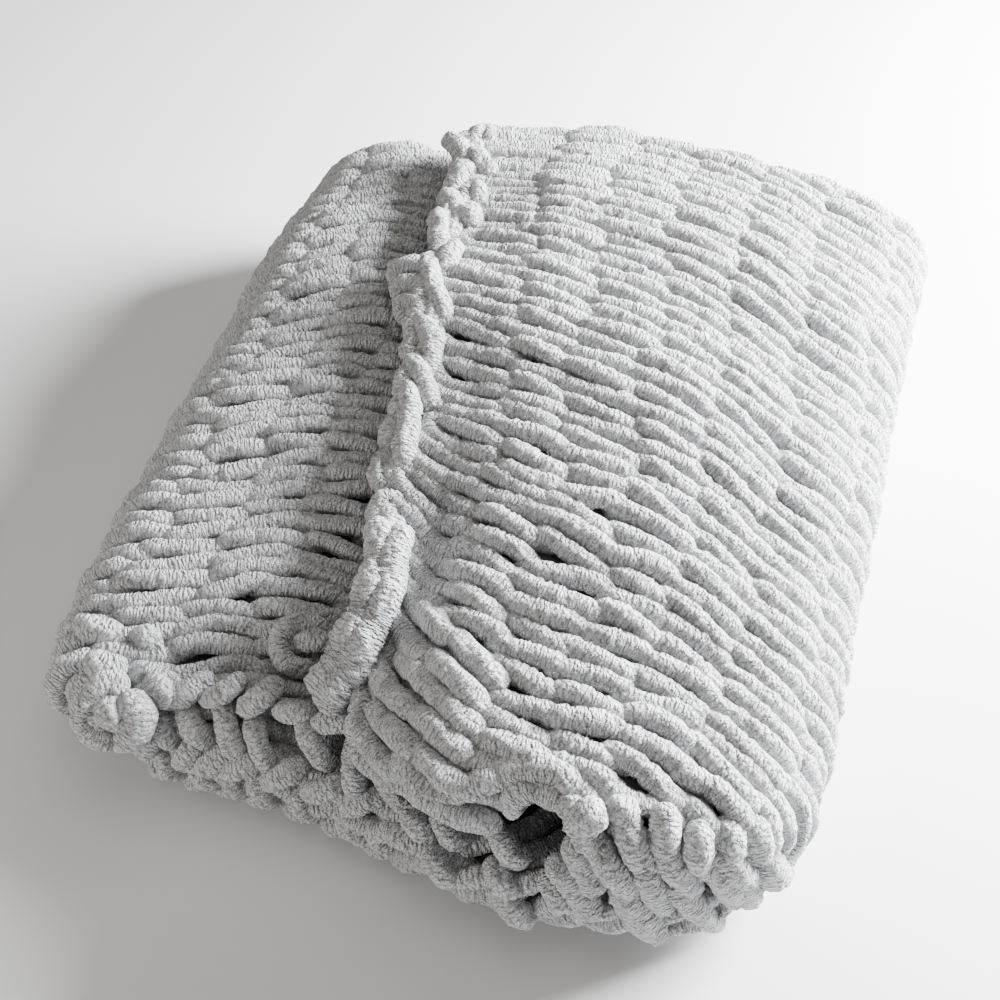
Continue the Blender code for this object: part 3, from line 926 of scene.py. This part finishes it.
DIVE = 0.008  # how much lower a loose loop's ends are than its middle
# A loop has worked out of the left side in a ring: its middle, its radius, the angles (degrees)
# that it runs between, and the stub inside it.
RING, RING_R, RING_TURN = (0.230, 0.075), 0.016, (125, -120)
RING_STUB = ((0.235, 0.075), (0.215, 0.080))
RING_YARN, RING_LIFT = 0.0082, 0.015
# Odd loops lie across the left fold: how thick, and from where to where, along and across.
WRAPS = (
    (0.0086, ((0.365, 0.075), (0.400, 0.070), (0.440, 0.075))),
    (0.0094, ((0.375, 0.095), (0.355, 0.090))),
    (0.0096, ((0.340, 0.090), (0.330, 0.080))),
    (0.0088, ((0.335, 0.065), (0.305, 0.050))),
)
WRAP_LIFT = 0.009
# At the free front corner the loops are matted: legs lie on the knit in files, one after another,
# counted from the selvedge. The farther from it, the more they slant towards it.
MAT_LEGS = (1, 2, 2, 3, 2, 2)
MAT_SEED = 7
MAT_START = 1.325  # along
MAT_LEG = 0.043
MAT_STAGGER = 0.25  # legs that every other file starts further in
MAT_PITCH = 0.0175
MAT_SLANT = 0.002  # of the first file, and as much more for each next one
MAT_YARN, MAT_YARNS = 0.0093, (0.94, 1.06)
MAT_LIFT = 0.009
MAT_ALONG, MAT_ACROSS, MAT_UP = 0.004, 0.002, 0.001  # unevenness
# Three legs lie along the hem where it is pulled up: how thick, how far off and the way they run.
HEM_LEGS = (
    (0.0094, 0.006, ((1.260, 0.000), (1.230, 0.010), (1.205, 0.015))),
    (0.0096, 0.007, ((1.215, 0.015), (1.185, 0.020), (1.160, 0.020))),
    (0.0096, 0.001, ((1.220, 0.000), (1.190, 0.005), (1.160, 0.005))),
)
# Knobs and legs stand on the hem beside the corner.
HEM_KNOBS = (
    (0.0128, ((0.100, -0.305, 0.145), (0.110, -0.310, 0.145), (0.115, -0.310, 0.140))),
    (0.0096, ((0.120, -0.295, 0.145), (0.125, -0.300, 0.145), (0.135, -0.300, 0.140))),
    (0.0096, ((0.100, -0.315, 0.120), (0.110, -0.320, 0.100), (0.120, -0.325, 0.080))),
    (0.0094, ((0.090, -0.320, 0.100), (0.105, -0.325, 0.080), (0.120, -0.330, 0.055))),
)
# Purl bumps of the underside show below the hem: where each starts, and how they run and bow out.
PURLS = (
    (-0.010, -0.295, 0.080),
    (0.010, -0.295, 0.080),
    (0.050, -0.300, 0.085),
    (0.010, -0.315, 0.065),
    (0.050, -0.315, 0.070),
    (0.060, -0.325, 0.055),
    (0.085, -0.315, 0.070),
)
PURL_RUN, PURL_BOW = np.array((0.022, -0.008, -0.020)), np.array((0, -0.008, 0))
PURL_YARN = 0.0088
HEM_FACES = (0.0, -0.6, 0.8)
HEM_TUFTS = 0.07


def loose_ends():
    """The ring, the wraps, the matted corner, and what stands and shows at the hem."""
    yarn = Yarn(sides=16)

    def loop(places, lift, thick):
        arched(yarn, places, (lift - DIVE, lift), thick, tufts=LOOSE_TUFTS, matted=1)

    turn = np.radians(np.linspace(*RING_TURN, 7))
    ring = np.array(RING) + RING_R * np.column_stack([np.cos(turn), np.sin(turn)])
    for places in (ring, RING_STUB):
        loop(places, RING_LIFT, RING_YARN)
    for thick, places in WRAPS:
        loop(places, WRAP_LIFT, thick)
    rng = np.random.default_rng(MAT_SEED)
    for file, legs in enumerate(MAT_LEGS):
        slant = MAT_SLANT * (file + 1)
        for leg in range(legs):
            along = MAT_START - MAT_LEG * (leg + MAT_STAGGER * (file % 2)) + MAT_ALONG * rng.normal()
            across = MAT_PITCH * file - slant * leg + MAT_ACROSS * rng.normal()
            lift = MAT_LIFT + MAT_UP * rng.normal()
            thick = MAT_YARN * rng.uniform(*MAT_YARNS)
            loop(((along, across), (along - MAT_LEG, across - slant)), lift, thick)
    for thick, lift, places in HEM_LEGS:
        loop(places, lift, thick)
    for thick, points in HEM_KNOBS:
        in_space(yarn, points, thick, HEM_FACES, tufts=HEM_TUFTS)
    for start in PURLS:
        points = (start, start + PURL_RUN / 2 + PURL_BOW, start + PURL_RUN)
        in_space(yarn, points, PURL_YARN, HEM_FACES, tufts=HEM_TUFTS)
    return yarn.build("loose_loops", YARN)


GROUND_DEPTH = -0.005  # below the middle of the cloth
GROUND_INSET = 0.004  # it stops short of the loops at its edges
GROUND_STEPS = (110, 90)  # along and across


def ground():
    """The cloth's own surface, behind the loops: the sheet that the yarn belongs to, coloured with
    painted shade.
    """
    along = np.linspace(GROUND_INSET, ALONG[-1] - GROUND_INSET, GROUND_STEPS[0])
    across = np.linspace(GROUND_INSET, ACROSS[-1] - GROUND_INSET, GROUND_STEPS[1])
    points = place(along[None, :], across[:, None], GROUND_DEPTH).reshape(-1, 3)
    wide = len(along)
    faces = [
        (j * wide + i, j * wide + i + 1, (j + 1) * wide + i + 1, (j + 1) * wide + i)
        for j in range(len(across) - 1)
        for i in range(wide - 1)
    ]
    mesh = bpy.data.meshes.new("knit_ground")
    mesh.from_pydata([tuple(p) for p in points], [], faces)
    mesh.uv_layers.new(name="yarn")
    mesh.shade_smooth()
    # painted shade: the deep interior of the cloth, seen between the loops, lies in shadow
    mesh.materials.append(GROUND_SHADE)
    sheet = bpy.data.objects.new("knit_ground", mesh)
    bpy.context.scene.collection.objects.link(sheet)
    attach(sheet, BODY)
    return sheet


# ------------------------------------------------------------------ stage
CAMERA_PLACE = (0.149, -0.650, 0.874)
CAMERA_TURN = (38.31, 0.71, 13.92)  # degrees
LENS, SENSOR = 48.4, 36  # mm
FLOOR_SIZE = 8
FLOOR_COLOUR, FLOOR_ROUGHNESS = (0.86, 0.86, 0.86, 1), 0.9
SKY_COLOUR, SKY_STRENGTH = (1.0, 0.97, 0.91, 1), 0.12
LAMPS = (
    # name, where it is, what it points at, size, watts, colour
    ("window", (1.06, 0.67, 0.49), (0.1, 0.0, 0.12), 0.9, 295, (0.97, 0.985, 1.0)),
    ("fill", (-0.9, -1.2, 0.35), (-0.2, -0.25, 0.08), 0.6, 10, (1.0, 0.97, 0.92)),
    ("ceiling", (0.1, 0.3, 1.7), (0.0, 0.0, 0.1), 1.8, 11, (1.0, 0.975, 0.92)),
)


def camera():
    """The camera, high up in front and a little to the right."""
    data = bpy.data.cameras.new("camera")
    data.lens = LENS
    data.sensor_width = SENSOR
    made = bpy.data.objects.new("camera", data)
    made.location = CAMERA_PLACE
    made.rotation_euler = Euler([math.radians(a) for a in CAMERA_TURN])
    bpy.context.scene.collection.objects.link(made)
    bpy.context.scene.camera = made


def area_light(name, spot, aim, size, power, colour):
    """A soft round light at spot that points at aim."""
    data = bpy.data.lights.new(name, "AREA")
    data.shape = "DISK"
    data.size = size
    data.energy = power
    data.color = colour
    made = bpy.data.objects.new(name, data)
    made.location = spot
    made.rotation_euler = (Vector(aim) - Vector(spot)).to_track_quat("-Z", "Y").to_euler()
    bpy.context.scene.collection.objects.link(made)


def stage():
    """A pale floor under soft studio light."""
    bpy.ops.mesh.primitive_plane_add(size=FLOOR_SIZE)
    floor = bpy.context.object
    floor.name = "floor"
    material = bpy.data.materials.new("pale_floor")
    material.use_nodes = True
    shader = material.node_tree.nodes["Principled BSDF"]
    shader.inputs["Base Color"].default_value = FLOOR_COLOUR
    shader.inputs["Roughness"].default_value = FLOOR_ROUGHNESS
    floor.data.materials.append(material)
    world = bpy.data.worlds.new("studio")
    world.use_nodes = True
    world.node_tree.nodes["Background"].inputs["Color"].default_value = SKY_COLOUR
    world.node_tree.nodes["Background"].inputs["Strength"].default_value = SKY_STRENGTH
    bpy.context.scene.world = world
    for lamp in LAMPS:
        area_light(*lamp)


sheet = ground()
knits = [knit(*row, YARN) for row in KNITS]
knits += [ridge(), flap(), rosette(), selvedge(), curled_end(), corner_fan(), loose_ends()]
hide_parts(NODE)
camera()
stage()
